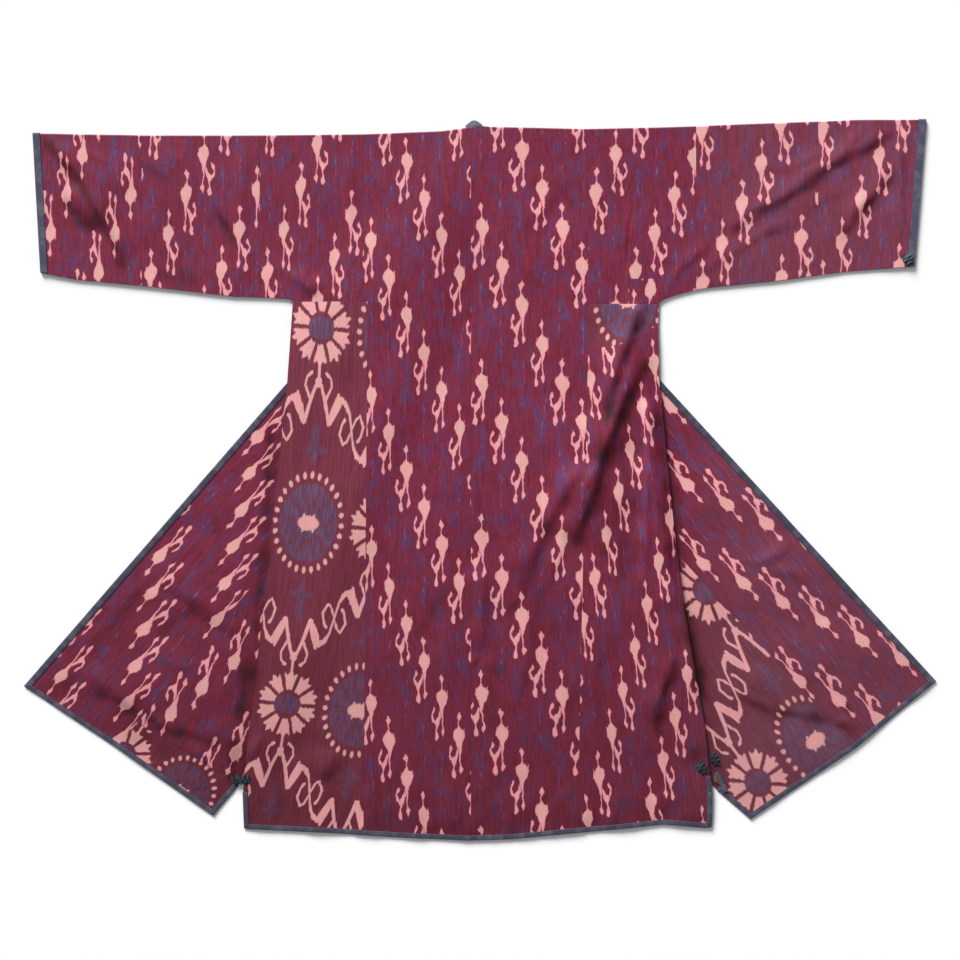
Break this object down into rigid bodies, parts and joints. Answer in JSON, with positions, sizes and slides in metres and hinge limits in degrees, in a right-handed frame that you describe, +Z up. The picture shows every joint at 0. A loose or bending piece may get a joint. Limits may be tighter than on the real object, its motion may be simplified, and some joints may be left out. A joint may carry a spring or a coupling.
{
  "type": "ikat chapan robe laid flat",
  "caption": "Wide-sleeved ikat silk robe laid flat back up, with both front skirts folded out beside it and its edges bound in tape.",
  "frame": {"origin": "centre of the robe's outline, on the surface that it lies on", "axes": "+X along the sleeves, from the left cuff in view to the right one, +Y from the hem to the shoulders, +Z up out of the surface"},
  "size_m": [1.6418, 1.2979, 0.0117],
  "materials": {
    "ikat_silk": "wine red warp ikat silk with pink figures and blue-violet clouds, soft sheen",
    "medallion_silk": "plum brown warp ikat silk with pink rosettes and blue-violet medallions, soft sheen",
    "binding_tape": "slate blue woven tape, matt",
    "neck_tape": "grey woven tape, matt",
    "indigo_thread": "dark indigo twisted thread",
    "brown_lining": "brown cotton lining, matt"
  },
  "bodies": {
    "root": {"body_left": "ikat_silk", "body_right": "ikat_silk", "back_gore_left": "medallion_silk", "back_gore_right": "ikat_silk", "front_gore_left": "ikat_silk", "front_gore_left_hem": "medallion_silk", "front_gore_right": "medallion_silk", "underarm_patch_right": "medallion_silk", "underarm_gusset_right": "ikat_silk", "sleeve_left_inner": "ikat_silk", "sleeve_left_middle": "ikat_silk", "sleeve_left_cuff": "ikat_silk", "sleeve_right_inner": "ikat_silk", "sleeve_right_middle": "ikat_silk", "sleeve_right_cuff": "ikat_silk", "cuff_tape_left": "binding_tape", "cuff_tape_right": "binding_tape", "edge_tape_left": "binding_tape", "edge_tape_right": "binding_tape", "edge_tape_back": "binding_tape", "neck_tape": "neck_tape", "vent_knot_left": "indigo_thread", "vent_knot_right": "indigo_thread", "vent_knot_right_outer": "indigo_thread", "cuff_knot_right": "indigo_thread", "vent_lining_right": "brown_lining"}
  },
  "joints": []
}
